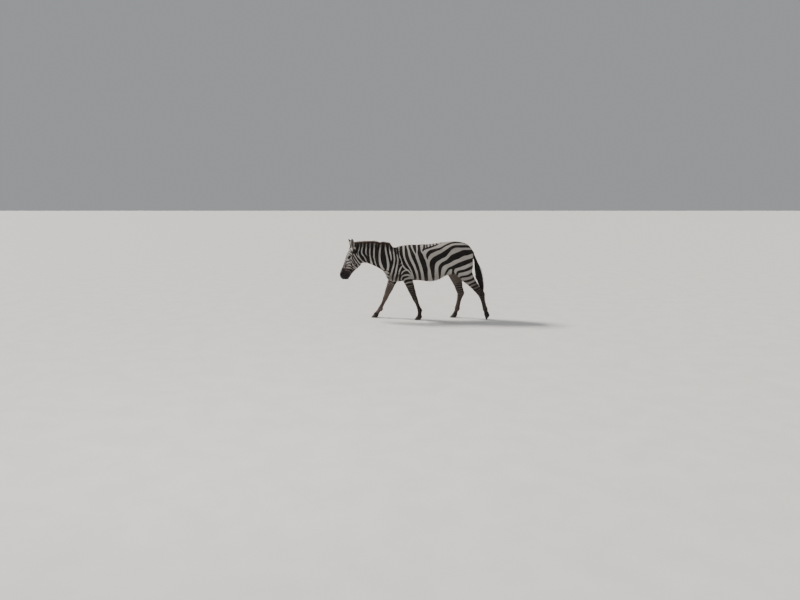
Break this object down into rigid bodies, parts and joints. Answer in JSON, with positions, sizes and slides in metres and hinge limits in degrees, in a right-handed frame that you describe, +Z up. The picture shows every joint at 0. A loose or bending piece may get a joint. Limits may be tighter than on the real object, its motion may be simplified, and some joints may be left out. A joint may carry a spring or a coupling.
{
  "type": "plains zebra",
  "caption": "Life-size plains zebra walking with its head carried low, black and white striped coat, upright mane and dark tail tuft.",
  "frame": {"origin": "on the floor under the middle of the animal's box", "axes": "+Z up, the head points to -X and the animal's left side faces -Y"},
  "size_m": [2.6102, 0.4818, 1.3958],
  "materials": {
    "striped_coat": "short striped hair, black on warm white",
    "mane_hair": "upright striped hair with dark brown tips",
    "tail_hair": "long black hair",
    "hoof_horn": "dark ringed horn",
    "eye": "wet dark brown"
  },
  "bodies": {
    "root": {"head": "striped_coat", "neck": "striped_coat", "trunk": "striped_coat", "foreleg_left": "striped_coat", "foreleg_right": "striped_coat", "hindleg_left": "striped_coat", "hindleg_right": "striped_coat", "ear_left": "striped_coat", "ear_right": "striped_coat", "tail": "striped_coat", "mane": "mane_hair", "tail_tuft": "tail_hair", "hoof_fore_left": "hoof_horn", "hoof_fore_right": "hoof_horn", "hoof_hind_left": "hoof_horn", "hoof_hind_right": "hoof_horn", "eye_left": "eye", "eye_right": "eye"}
  },
  "joints": []
}
